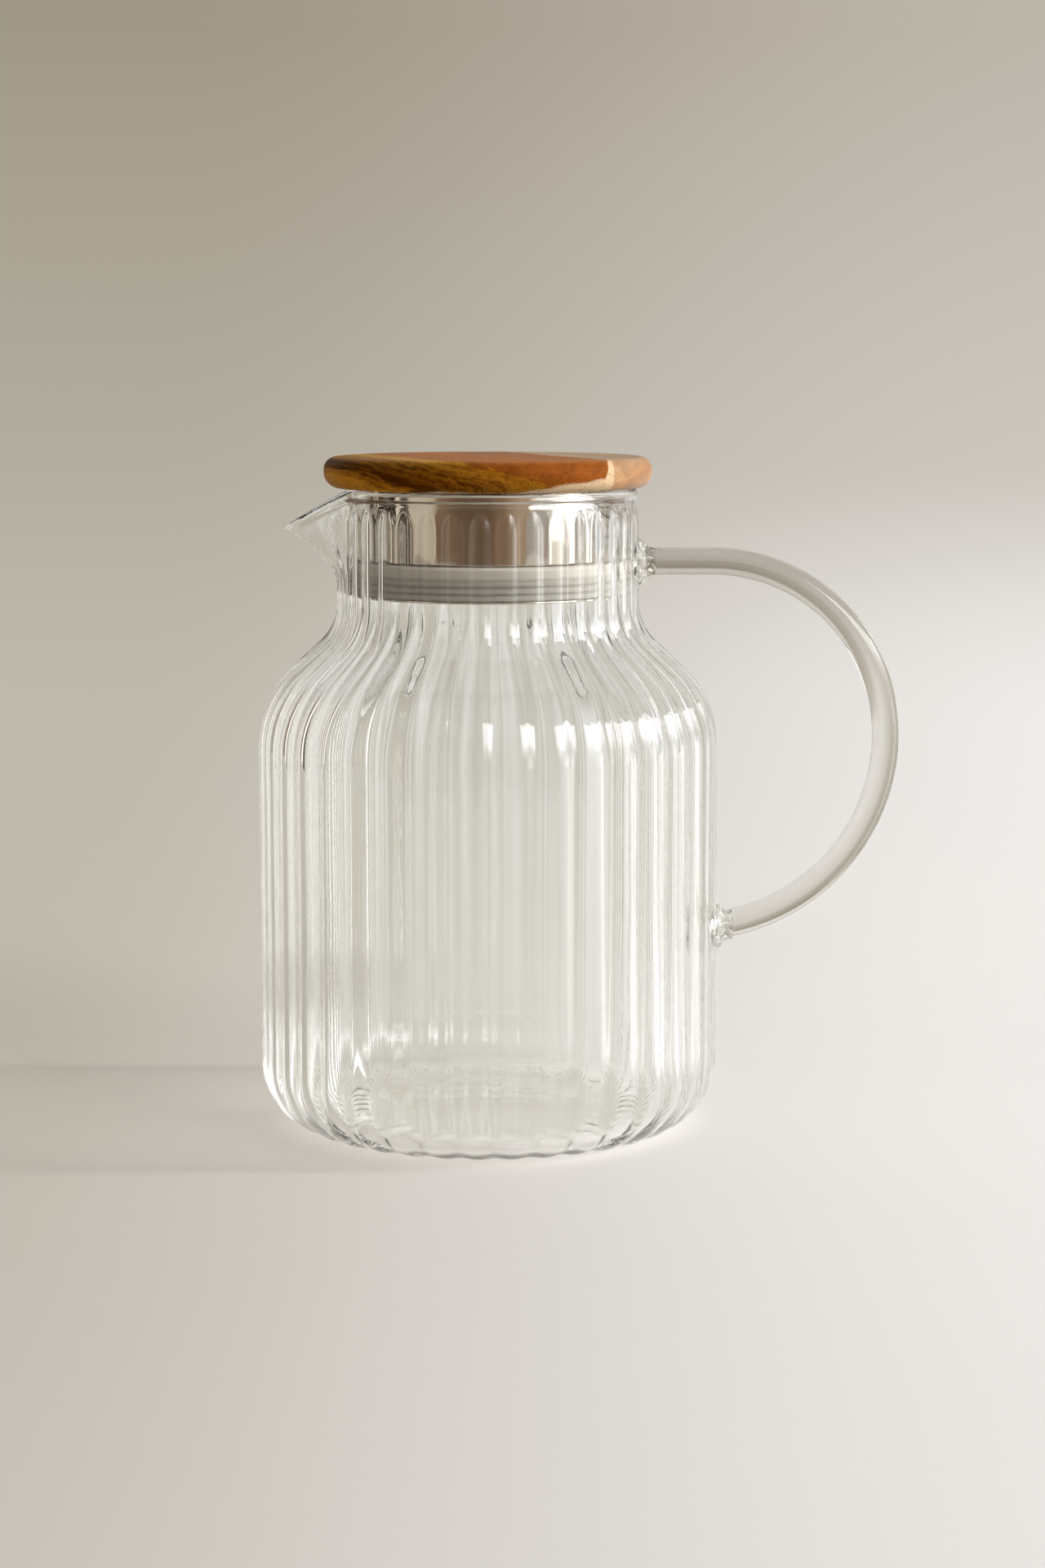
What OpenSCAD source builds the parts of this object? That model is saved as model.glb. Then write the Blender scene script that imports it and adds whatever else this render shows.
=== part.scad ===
// Fluted glass pitcher with a glass rod handle and a wooden lid that carries a steel strainer.
// The origin is the centre of the foot, on the table. +X points to the handle, -X to the spout.

/* [Glass body] */
// Diameter of the body across the flute crests
body_d = 130; // [120:1:145]
// Diameter of the neck across the flute crests
neck_d = 85; // [78:1:92]
// Height at which the straight wall ends and the shoulder begins
wall_h = 107.5; // [95:0.5:120]
// Length of the straight neck, up to the top of the rim
neck_h = 31.5; // [30:0.5:40]
// Radius of the shoulder's outward curve
shoulder_r = 31; // [26:0.5:34]
// Radius of the curve from the shoulder into the neck
neck_curve_r = 15.5; // [12:0.5:18]
// Slope of the shoulder, away from upright, in degrees
shoulder_slope = 48; // [44:1:54]
// Width of the rounded corner at the foot
corner_w = 15; // [10:0.5:20]
// Height of the rounded corner at the foot
corner_h = 18.6; // [12:0.2:24]
// Thickness of the glass wall at a flute crest
wall_t = 2.9; // [2.4:0.1:3.4]
// Thickness of the glass floor
floor_t = 4; // [3:0.5:6]

/* [Flutes] */
// Number of flutes round the glass
flutes = 36; // [24:2:44]
// Depth of the valleys between the flutes at the body wall
flute_depth = 1.1; // [0.4:0.1:1.5]
// Turn of the flutes away from a crest straight under the handle, in degrees
flute_turn = -2.5; // [-5:0.5:5]
// Height of the plain band between the flute tops and the top of the rim
plain_band_h = 4.5; // [3.5:0.5:7]
// Height over which each flute fades into the plain band
flute_arch_h = 6; // [3:0.5:8]
// Width over which the flutes fade into the flat foot
foot_fade_w = 10; // [5:0.5:15]
// Height of the rounded rim bead
bead_h = 2.6; // [1.6:0.2:3]
// How far the rim bead stands out from the plain band
bead_out = 0.4; // [0.1:0.1:0.8]

/* [Spout] */
// How far the spout's tip stands out from the rim
spout_reach = 14; // [8:0.2:18]
// How far the rim dips at the spout's tip
spout_dip = 10.6; // [6:0.2:13]
// Height of the part of the neck that is drawn out into the spout
spout_h = 24.5; // [20:0.5:27]
// Half of the angle that the spout takes up round the neck, in degrees
spout_half_angle = 25; // [18:0.5:32]

/* [Handle] */
// Diameter of the glass rod
rod_d = 7.7; // [6:0.1:9]
// Distance of the rod's straight top run below the rim
handle_drop = 20.4; // [17:0.2:26]
// Distance from the body wall to the rod's centre at its farthest
handle_reach = 47.6; // [40:0.2:58]
// Height at which the rod is farthest out
handle_mid_z = 110; // [105:1:116]
// Radius of the rod's lower curve
lower_curve_r = 55; // [48:0.5:62]
// Radius of the crimped glass where it meets the wall
weld_r = 6.7; // [5.5:0.1:8]
// Length of the crimped glass along the rod
weld_len = 4.6; // [3:0.1:7]
// Number of crimps round each weld
crimps = 7; // [5:1:9]
// Depth of the crimps
crimp_depth = 1; // [0.2:0.1:1.5]

/* [Lid] */
// Overhang of the lid beyond the neck
lid_overhang = 3.5; // [1:0.5:8]
// Thickness of the wood
lid_t = 8.6; // [7.6:0.2:14]
// Rounding of the lid's top edge
lid_top_round = 2.5; // [1:0.1:3.5]
// Rounding of the lid's bottom edge
lid_bottom_round = 3.5; // [1:0.1:3.8]
// Distance of the glue line from the lid's centre
glue_offset = 20.7; // [16:0.1:22]
// Direction of the narrow stave from the lid's centre, in degrees from the handle
glue_turn = 22; // [0:1:45]

/* [Collar and gasket] */
// Gap between the steel sleeve and the bore of the neck, which the gasket fills
collar_gap = 3.5; // [3:0.1:4.5]
// Height of the sleeve between the wood and the gasket
sleeve_h = 20; // [17:0.5:20.5]
// Thickness of the steel sheet
sheet_t = 0.6; // [0.4:0.1:1]
// How far the sleeve steps in to make the gasket's seat
seat_step = 1.6; // [1.2:0.1:2.5]
// How far the bottom lip stands out under the gasket
lip_reach = 3; // [1.5:0.1:3.5]
// Height of the gasket
gasket_h = 9.2; // [7:0.1:9.4]
// Thickness of the gasket between its ribs
gasket_core_t = 2.2; // [1.2:0.1:2.6]
// Height of the gasket's plain top lip
top_lip_h = 3.4; // [2:0.1:4.5]
// Number of ribs below the top lip
ribs = 3; // [2:1:4]
// Diameter of the strainer holes
hole_d = 1.5; // [1:0.1:2]
// Distance from strainer hole to strainer hole
hole_pitch = 3.2; // [2.8:0.1:3.6]
// Rows of strainer holes
hole_rows = 5; // [3:1:5]
// Strainer holes in the widest row
hole_cols = 15; // [7:1:19]

/* [Screws] */
// Number of screws that hold the collar to the wood
screws = 3; // [3:1:6]
// Distance of the screws from the lid's centre
screw_ring_r = 27.5; // [25:0.5:28.5]
// Diameter of a screw's shank
screw_d = 3; // [2:0.1:4]
// Length of a screw below its head
screw_len = 6.6; // [5:0.1:7]
// Diameter of a screw's head
head_d = 5.6; // [4.8:0.1:7]
// Height of a screw's head
head_h = 1.8; // [1.4:0.1:2.4]
// Width of the cross slots in a screw's head
slot_w = 0.9; // [0.5:0.1:1.2]

/* [Hidden] */
$fn = 96;

// Clearances: wood over the rim, gasket in the neck, gasket on its seat
rim_gap = 0.3;
gasket_gap = 0.3;
gasket_play = 0.1;
// Clearances: shank in the steel, shank in the wood, tip above the shank's hole
sheet_play = 0.15;
shank_play = 0.05;
tip_play = 0.4;
// Every cut runs this far past what it cuts
overrun = 1;

body_r = body_d / 2;
neck_r = neck_d / 2;
bore_r = neck_r - wall_t;

// Glass outline, as points [radius, height, angle of the outward normal], set in from the crests by t
slope_run = (body_r - neck_r - (1 - cos(shoulder_slope)) * (shoulder_r + neck_curve_r)) / sin(shoulder_slope);
neck_z = wall_h + (shoulder_r + neck_curve_r) * sin(shoulder_slope) + slope_run * cos(shoulder_slope);
rim_z = neck_z + neck_h;

function corner(t, floor_z, steps) = [for (i = [0:steps])
    let (a = 90 * i / steps - 90, w = corner_w - t, h = corner_h - floor_z)
    [body_r - corner_w + w * cos(a), corner_h + h * sin(a), atan2(sin(a) / h, cos(a) / w)]];
function shoulder(t, steps) = [for (i = [0:steps])
    let (a = shoulder_slope * i / steps)
    [body_r - shoulder_r + (shoulder_r - t) * cos(a), wall_h + (shoulder_r - t) * sin(a), a]];
function neck_curve(t, steps) = [for (i = [0:steps])
    let (a = shoulder_slope * (1 - i / steps))
    [neck_r + neck_curve_r - (neck_curve_r + t) * cos(a), neck_z - (neck_curve_r + t) * sin(a), a]];
function upright(r, heights) = [for (z = heights) [r, z, 0]];

// Flutes: their depth keeps its proportion to the radius, and each is one rounded rib
flute_points = 4;
around = flutes * flute_points;
flute_top_z = rim_z - plain_band_h;
flute_full_z = flute_top_z - flute_arch_h;
function depth_at(r) = flute_depth * r / body_r;
function crest_share(a) =
    let (turns = (a - flute_turn) * flutes / 360, u = 2 * (turns - round(turns)))
    1 - u * u;

// Rim: a plain band as deep as the valleys, with a rounded bead on top
band_r = neck_r - depth_at(neck_r);
bead_mid_r = (band_r + bead_out + bore_r) / 2;
bead_half_w = (band_r + bead_out - bore_r) / 2;
bead_mid_z = rim_z - bead_h / 2;
function bead(steps) = [for (i = [-1:steps - 1])
    let (a = 180 * i / (steps - 1))
    [bead_mid_r + bead_half_w * cos(a), bead_mid_z + bead_h * sin(a) / 2, 0]];

// Spout: a share of the pull is 1 on the spout's centre line at the rim, and 0 outside the spout
spout_z = rim_z - spout_h;
tip_round_angle = 3;
side_share = 1.45;
height_share = 1.1;
function tip_angle(a) = sqrt(a * a + tip_round_angle * tip_round_angle) - tip_round_angle;
function spout_share(a) = pow(max(0, 1 - tip_angle(a - 180) / tip_angle(spout_half_angle)), side_share);
function pull_share(a, z) = spout_share(a) * pow(max(0, (z - spout_z) / spout_h), height_share);
function pulled(a, r, z) =
    let (s = pull_share(a, z), rr = r + spout_reach * s)
    [rr * cos(a), rr * sin(a), z - spout_dip * s];

// Rings of the glass, with angles from 0 to 360
function ring_angle(i) =
    let (a = 360 * i / around + flute_turn)
    a < 0 ? a + 360 : a;
function plain_ring(p) = [for (i = [0:around - 1]) pulled(ring_angle(i), p[0], p[1])];
function fluted_ring(p) = [for (i = [0:around - 1])
    let (a = ring_angle(i), d = depth_at(p[0]) * (1 - crest_share(a)) * (1 - pull_share(a, p[1])))
    pulled(a, p[0] - d * cos(p[2]), p[1] - d * sin(p[2]))];

foot_line = upright(body_r - corner_w - foot_fade_w, [0]);
fluted_line = concat(corner(0, 0, 5), shoulder(0, 3), neck_curve(0, 3),
    upright(neck_r, [spout_z, (spout_z + flute_full_z) / 2, flute_full_z]));
rim_line = concat(upright(band_r, [flute_top_z]), bead(5), upright(bore_r, [rim_z - spout_h / 2, spout_z]));
inside_line = concat(corner(wall_t, floor_t, 3), shoulder(wall_t, 2), neck_curve(wall_t, 2));

// A closed skin over a stack of rings with as many points each, and a flat end on the first and the last
function sum(list, i = 0) = i < len(list) ? list[i] + sum(list, i + 1) : 0;
function middle(ring) = [for (axis = [0:2]) sum([for (p = ring) p[axis]]) / len(ring)];
module skin(stack) {
    n = len(stack[0]);
    last = len(stack) - 1;
    ends_at = (last + 1) * n;
    sides = [for (j = [0:last - 1], i = [0:n - 1])
        let (k = (i + 1) % n)
        each [[j * n + i, (j + 1) * n + i, j * n + k], [j * n + k, (j + 1) * n + i, (j + 1) * n + k]]];
    ends = [for (i = [0:n - 1])
        let (k = (i + 1) % n)
        each [[ends_at, i, k], [ends_at + 1, last * n + k, last * n + i]]];
    points = concat([for (ring = stack) each ring], [middle(stack[0]), middle(stack[last])]);
    polyhedron(points, concat(sides, ends));
}

module glass_body() {
    color([0.86, 0.88, 0.86, 0.4])
    skin(concat(
        [for (p = foot_line) plain_ring(p)],
        [for (p = fluted_line) fluted_ring(p)],
        [for (p = rim_line) plain_ring(p)],
        [for (i = [len(inside_line) - 1:-1:0]) plain_ring(inside_line[i])]));
}

// Handle: a straight run from the neck, a quarter turn and the lower curve back to the wall
rod_r = rod_d / 2;
handle_top_z = rim_z - handle_drop;
upper_curve_r = handle_top_z - handle_mid_z;
rod_x = body_r + handle_reach;
upper_mid_x = rod_x - upper_curve_r;
lower_mid_x = rod_x - lower_curve_r;
// Each weld bites into the wall, and the rod ends inside the weld, this far from the wall
weld_bite = 1.2;
rod_inset = 1.4;
weld_angle = acos((body_r - lower_mid_x) / lower_curve_r);
rod_end_angle = acos((body_r + rod_inset - lower_mid_x) / lower_curve_r);

// Points of the rod's centre line, as [x, z, slope], along an arc from angle a down to angle b
rod_steps = 14;
rod_points = 24;
function arc_path(mid_x, r, a, b) = [for (i = [0:rod_steps])
    let (t = a + (b - a) * i / rod_steps)
    [mid_x + r * cos(t), handle_mid_z + r * sin(t), t - 90]];
function rod_ring(p) = [for (i = [0:rod_points - 1])
    let (t = 360 * i / rod_points, up = rod_r * sin(t))
    [p[0] - up * sin(p[2]), rod_r * cos(t), p[1] + up * cos(p[2])]];

module handle_rod() {
    upper = arc_path(upper_mid_x, upper_curve_r, 90, 0);
    lower = arc_path(lower_mid_x, lower_curve_r, 0, -rod_end_angle);
    path = concat([[neck_r + rod_inset, handle_top_z, 0]], upper, [for (i = [1:rod_steps]) lower[i]]);
    color([0.80, 0.83, 0.81, 0.6])
    skin([for (p = path) rod_ring(p)]);
}

// A crimped gather of glass along +Z, wide at the wall and drawn in to the rod
weld_rings = 7;
crimp_points = 4;
function crimped_ring(z, r, crimp) = [for (i = [0:crimps * crimp_points - 1])
    let (a = 360 * i / (crimps * crimp_points), rr = r + crimp * cos(crimps * a) / 2)
    [rr * cos(a), rr * sin(a), z]];
module weld() {
    skin(concat(
        [crimped_ring(-weld_bite, weld_r, crimp_depth)],
        [for (i = [0:weld_rings])
            let (left = 1 - i / weld_rings)
            crimped_ring(weld_len * (1 - left), rod_r + (weld_r - rod_r) * left * left, crimp_depth * left)]));
}

module handle_weld_upper() {
    color([0.90, 0.92, 0.90, 0.7])
    translate([neck_r, 0, handle_top_z])
        rotate([0, 90, 0])
        weld();
}

module handle_weld_lower() {
    color([0.90, 0.92, 0.90, 0.7])
    translate([body_r, 0, handle_mid_z - lower_curve_r * sin(weld_angle)])
        rotate([0, 90, 0])
        weld();
}

// Points of an arc from angle a to angle b
arc_steps = 8;
function arc(x, y, r, a, b) = [for (i = [0:arc_steps])
    let (t = a + (b - a) * i / arc_steps)
    [x + r * cos(t), y + r * sin(t)]];

// Lid: one disc, sawn along the glue line into two staves, with a blind hole for each screw
lid_r = neck_r + lid_overhang;
lid_z = rim_z + rim_gap;
screw_r = screw_d / 2;

module lid_disc() {
    translate([0, 0, lid_z])
        rotate_extrude()
        polygon(concat(
            [[0, 0]],
            arc(lid_r - lid_bottom_round, lid_bottom_round, lid_bottom_round, -90, 0),
            arc(lid_r - lid_top_round, lid_t - lid_top_round, lid_top_round, 0, 90),
            [[0, lid_t]]));
}

module at_screws() {
    for (i = [0:screws - 1])
        rotate([0, 0, glue_turn + 360 * i / screws])
        translate([screw_ring_r, 0, lid_z - sheet_t])
        children();
}

// Space on the narrow side of the glue line
module narrow_side() {
    rotate([0, 0, glue_turn])
        translate([glue_offset, -lid_r - overrun, lid_z - overrun])
        cube([lid_r, 2 * (lid_r + overrun), lid_t + 2 * overrun]);
}

module shank_holes() {
    at_screws()
        translate([0, 0, -overrun])
        cylinder(h = overrun + screw_len + tip_play, r = screw_r + shank_play);
}

module lid_stave_wide() {
    color([0.62, 0.42, 0.22])
    difference() {
        lid_disc();
        narrow_side();
        shank_holes();
    }
}

module lid_stave_narrow() {
    color([0.72, 0.48, 0.26])
    difference() {
        intersection() {
            lid_disc();
            narrow_side();
        }
        shank_holes();
    }
}

// Collar: a drawn steel cup with a flat top under the wood, a stepped-in seat and a bottom lip
sleeve_r = bore_r - collar_gap;
seat_r = sleeve_r - seat_step;
step_z = lid_z - sleeve_h;
lip_z = step_z - gasket_h - gasket_play;
row_gap = hole_pitch * sin(60);
hole_turn = 360 * hole_pitch / (2 * PI * sleeve_r);

module strainer_collar() {
    color([0.66, 0.62, 0.57])
    difference() {
        rotate_extrude()
            polygon([
                [0, lid_z], [sleeve_r, lid_z], [sleeve_r, step_z], [seat_r, step_z],
                [seat_r, lip_z], [seat_r + lip_reach, lip_z], [seat_r + lip_reach, lip_z - sheet_t],
                [seat_r - sheet_t, lip_z - sheet_t], [seat_r - sheet_t, step_z + sheet_t],
                [sleeve_r - sheet_t, step_z + sheet_t], [sleeve_r - sheet_t, lid_z - sheet_t],
                [0, lid_z - sheet_t]]);
        strainer_holes();
        at_screws()
            translate([0, 0, -overrun])
            cylinder(h = sheet_t + 2 * overrun, r = screw_r + sheet_play);
    }
}

// Staggered rows of holes through the sleeve, on the handle's side
module strainer_holes() {
    for (row = [0:hole_rows - 1]) {
        cols = hole_cols - row % 2;
        for (col = [0:cols - 1])
            rotate([0, 0, hole_turn * (col - (cols - 1) / 2)])
            translate([sleeve_r - sheet_t - overrun, 0,
                lid_z - sleeve_h / 2 + row_gap * (row - (hole_rows - 1) / 2)])
            rotate([0, 90, 0])
            cylinder(h = sheet_t + 2 * overrun, r = hole_d / 2);
    }
}

// Gasket: a soft band on the seat, with a plain top lip and ribs that reach out to the glass
gasket_r = bore_r - gasket_gap;
gasket_bore_r = seat_r + gasket_play;
gasket_core_r = gasket_bore_r + gasket_core_t;
lip_root_z = lip_z + gasket_h - top_lip_h;
rib_pitch = (gasket_h - top_lip_h) / ribs;
rib_low_share = 0.25;
rib_high_share = 0.65;
rib_root_share = 0.85;
lip_edge_share = 0.15;

module gasket() {
    color([0.74, 0.74, 0.72])
    rotate_extrude()
        polygon(concat(
            [[gasket_bore_r, lip_z], [gasket_core_r, lip_z]],
            [for (i = [0:ribs - 1])
                let (z = lip_z + rib_pitch * i)
                each [
                    [gasket_r, z + rib_pitch * rib_low_share],
                    [gasket_r, z + rib_pitch * rib_high_share],
                    [gasket_core_r, z + rib_pitch * rib_root_share],
                    [gasket_core_r, z + rib_pitch]]],
            [[gasket_r, lip_root_z + top_lip_h * lip_edge_share],
                [gasket_r, lip_root_z + top_lip_h * (1 - lip_edge_share)],
                [gasket_r - top_lip_h * lip_edge_share, lip_root_z + top_lip_h],
                [gasket_bore_r, lip_root_z + top_lip_h]]));
}

// Screws: pan heads under the steel, with the shanks up in the wood
tip_len = screw_d / 2;
tip_r = screw_d / 10;
head_round = head_h * 2 / 3;
slot_len = head_d * 0.6;
slot_depth = head_h / 2;

module screw() {
    cylinder(h = screw_len - tip_len, r = screw_r);
    translate([0, 0, screw_len - tip_len])
        cylinder(h = tip_len, r1 = screw_r, r2 = tip_r);
    difference() {
        rotate_extrude()
            polygon(concat(
                [[0, 0], [0, -head_h]],
                arc(head_d / 2 - head_round, head_round - head_h, head_round, -90, 0),
                [[head_d / 2, 0]]));
        for (turn = [0, 90])
            rotate([0, 0, turn])
            translate([-slot_len / 2, -slot_w / 2, -head_h - overrun])
            cube([slot_len, slot_w, slot_depth + overrun]);
    }
}

module lid_screws() {
    color([0.74, 0.74, 0.75])
    at_screws()
        screw();
}

glass_body();
handle_rod();
handle_weld_upper();
handle_weld_lower();
lid_stave_wide();
lid_stave_narrow();
strainer_collar();
gasket();
lid_screws();
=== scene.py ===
import math

import bmesh
import bpy
from mathutils import Matrix, Vector


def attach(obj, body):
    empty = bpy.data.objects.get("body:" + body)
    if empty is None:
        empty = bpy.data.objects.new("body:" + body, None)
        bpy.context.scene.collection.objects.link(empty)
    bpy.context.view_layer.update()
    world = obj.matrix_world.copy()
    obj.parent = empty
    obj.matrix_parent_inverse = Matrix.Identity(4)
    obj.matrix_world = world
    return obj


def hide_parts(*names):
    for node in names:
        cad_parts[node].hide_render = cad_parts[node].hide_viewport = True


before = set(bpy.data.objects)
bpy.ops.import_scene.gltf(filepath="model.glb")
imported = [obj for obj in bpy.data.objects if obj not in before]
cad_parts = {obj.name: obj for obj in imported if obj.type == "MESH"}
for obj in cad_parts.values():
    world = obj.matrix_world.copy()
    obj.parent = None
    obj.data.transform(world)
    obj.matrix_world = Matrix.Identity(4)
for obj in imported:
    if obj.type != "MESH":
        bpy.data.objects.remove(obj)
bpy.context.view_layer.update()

scene = bpy.context.scene
MM = 0.001

# Camera: the photograph's view, 0.9 m away and almost 8 degrees down
camera = bpy.data.objects.new("camera", bpy.data.cameras.new("camera"))
scene.collection.objects.link(camera)
camera.location = (0.0097, -0.8968, 0.21846)
camera.rotation_euler = (math.radians(82.239), 0, 0)
camera.data.sensor_width = 36
camera.data.lens = 73.16
scene.camera = camera
scene.view_settings.view_transform = "Standard"
# Light crosses many faces of fluted glass and runs on inside them, so its rays go on for long
scene.cycles.max_bounces = 40
scene.cycles.transmission_bounces = 32
scene.cycles.glossy_bounces = 32
scene.cycles.transparent_max_bounces = 16

# Sizes of the glass, in mm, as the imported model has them. From the highlights in the photograph, the flutes
# are 0.5 mm deeper here, the spout's tip reaches 1 mm further and the bead is 0.3 mm thicker.
body_r, neck_r, wall_t, floor_t = 65, 42.5, 2.9, 4
wall_h, neck_h, shoulder_r, neck_curve_r = 107.5, 31.5, 31, 15.5
shoulder_slope = math.radians(48)
corner_w, corner_h, foot_fade_w, push_up = 15, 18.6, 10, 0.5
flutes, flute_depth, flute_turn = 36, 1.6, math.radians(-2.5)
valley_round, inner_share = 0.38, 0.8
foot_share, plain_band_h, flute_arch_h, bead_h, bead_out = 0.25, 4.5, 6, 3, 0.7
spout_reach, spout_dip, spout_h, spout_half_angle, tip_round = 15, 10.6, 24.5, 25, 5.5
side_share, height_share = 1.45, 1.1
wave_w, wave_depth = 16, 0.18
bends = shoulder_r + neck_curve_r
slope_run = (body_r - neck_r - (1 - math.cos(shoulder_slope)) * bends) / math.sin(shoulder_slope)
neck_z = wall_h + bends * math.sin(shoulder_slope) + slope_run * math.cos(shoulder_slope)
rim_z = neck_z + neck_h
bore_r = neck_r - wall_t
band_r = neck_r - flute_depth * neck_r / body_r

# Sizes of the handle, the lid, the sleeve, the gasket and the screws, in mm
rod_r, handle_top_z, handle_mid_z, rod_x, lower_curve_r = 3.85, rim_z - 20.4, 110, 112.6, 55
weld_r, weld_len, weld_bite, rod_inset, crimps, crimp_depth = 6.7, 4.6, 1.2, 1.4, 7, 1
pinch_w, pinch_depth = 3.2, 2.2
lid_r, lid_z, lid_t, lid_top_round, lid_bottom_round = 46, rim_z + 0.3, 8.6, 3.5, 4.3
glue_offset, glue_turn = 20.7, math.radians(22)
sleeve_r, seat_r, sheet_t, lip_reach = 36.1, 34.5, 0.6, 4.7
step_z, lip_z = lid_z - 20, lid_z - 20 - 9.3
gasket_bore_r, gasket_core_r, gasket_r, gasket_h, top_lip_h, ribs = 34.6, 38.9, 39.3, 9.2, 3.4, 3
rib_middle, rib_foot, rib_crown = 0.44, 0.43, 0.2  # shares of the way from one rib to the next
hole_d, hole_pitch, hole_rows, hole_cols, hole_drop, drill_len = 1.5, 3.2, 5, 15, 10, 3
screw_count, screw_ring_r, screw_r, screw_len, head_r, head_h = 3, 27.5, 1.5, 6.6, 2.8, 1.8
slot_len, slot_w, slot_depth = 3.4, 0.9, 1.8

# Faces across one flute, and round the rod, the sleeve, one of its holes, the gasket, a screw and the lid
flute_steps, rod_steps, sleeve_steps, hole_steps = 14, 48, 240, 24
gasket_steps, screw_steps, lid_steps = 192, 32, 160


def linear(colour):
    """An sRGB hex value as linear red, green, blue and alpha."""
    parts = [int(colour[i:i + 2], 16) / 255 for i in (1, 3, 5)]
    return [p / 12.92 if p <= 0.04045 else ((p + 0.055) / 1.055) ** 2.4 for p in parts] + [1]


def put(tree, kind, inputs=(), **settings):
    """Adds a node with its settings. An input is a value, or a node or socket, or a tuple of them, to link.
    A colour Mix node's factor and two colours are its inputs 0, 6 and 7, and the result is its output 2."""
    new = tree.nodes.new(kind)
    for key, value in settings.items():
        setattr(new, key, value)
    for key, value in inputs.items() if isinstance(inputs, dict) else enumerate(inputs):
        for one in value if isinstance(value, tuple) and hasattr(value[0], "bl_rna") else (value,):
            if isinstance(one, bpy.types.Node):
                one = one.outputs[0]
            if isinstance(one, bpy.types.NodeSocket):
                tree.links.new(one, new.inputs[key])
            elif one is not None:
                new.inputs[key].default_value = one
    return new


def set_stops(node, stops):
    """Fills a node's colour ramp with (place, colour) stops."""
    elements = node.color_ramp.elements
    for at, (place, shade) in enumerate(stops):
        stop = elements[at] if at < 2 else elements.new(1.0)
        stop.position, stop.color = place, linear(shade)


# Materials
def surface(name):
    """A new material with an empty tree, its output and its object coordinates."""
    material = bpy.data.materials.new(name)
    material.use_nodes = True
    tree = material.node_tree
    tree.nodes.clear()
    return material, tree, put(tree, "ShaderNodeTexCoord").outputs["Object"]


def glass(name, tint, ripple_mm, ripple_depth_mm, stretch, painted_run_shade=None):
    """Clear borosilicate glass: a faint tint, and long soft ripples that bend what is seen through it."""
    material, tree, place = surface(name)
    along = put(tree, "ShaderNodeMapping", [place], vector_type="POINT")
    along.inputs["Scale"].default_value = stretch
    ripple = put(tree, "ShaderNodeTexNoise", {"Vector": along, "Scale": 1 / (ripple_mm * MM), "Detail": 1.0})
    normal = put(tree, "ShaderNodeBump", {
        "Height": ripple, "Distance": ripple_depth_mm * MM, "Strength": 1.0})
    # Handling leaves patches some 20 mm across that are a little less clear
    smudge = put(tree, "ShaderNodeTexNoise", {"Vector": place, "Scale": 1 / (20 * MM), "Detail": 3.0})
    haze = put(tree, "ShaderNodeMapRange", [smudge, 0.5, 0.8, 0.0, 0.025])
    base = linear(tint)
    if painted_run_shade:
        # The handle's straight run at the top is painted a little greyer than the bend: painted shade for the
        # grey that it shows there
        height = put(tree, "ShaderNodeSeparateXYZ", [place]).outputs["Z"]
        shaded_run = put(tree, "ShaderNodeMapRange", [height, 125 * MM, 158 * MM, 0.0, 1.0])
        base = put(tree, "ShaderNodeMix", {0: shaded_run, 6: base, 7: linear(painted_run_shade)}, data_type="RGBA").outputs[2]
    shader = put(tree, "ShaderNodeBsdfPrincipled", {
        "Base Color": base, "Roughness": haze, "IOR": 1.474, "Transmission Weight": 1.0, "Normal": normal})
    # Its shadow is faint where light goes straight through and darker where it glances off
    facing = put(tree, "ShaderNodeLayerWeight", {"Blend": 0.5}).outputs["Facing"]
    lost = put(tree, "ShaderNodeMath", [facing, 2.0], operation="POWER")
    passed = put(tree, "ShaderNodeMapRange", [lost, 0.0, 1.0, 0.985, 0.8])
    clear = put(tree, "ShaderNodeBsdfTransparent", [passed.outputs[0]])
    shadow = put(tree, "ShaderNodeLightPath").outputs["Is Shadow Ray"]
    put(tree, "ShaderNodeOutputMaterial", [put(tree, "ShaderNodeMixShader", [shadow, shader, clear])])
    return material


# Mould-blown glass is smooth but never quite even, so straight lines behind it waver
blown_glass = glass("mould-blown borosilicate glass", "#FEFFFE", 9, 0.03, (1, 1, 0.35))
# A drawn rod is even along its length. Its straight top run is painted greyer, as painted shade.
rod_glass = glass("flame-bent borosilicate rod", "#EEEDE8", 14, 0.03, (1, 1, 1), "#CCC9C1")
# Glass that was pinched on while soft keeps small tool marks
worked_glass = glass("flame-worked borosilicate joint", "#FCFDFC", 2.2, 0.22, (1, 1, 1))


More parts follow.
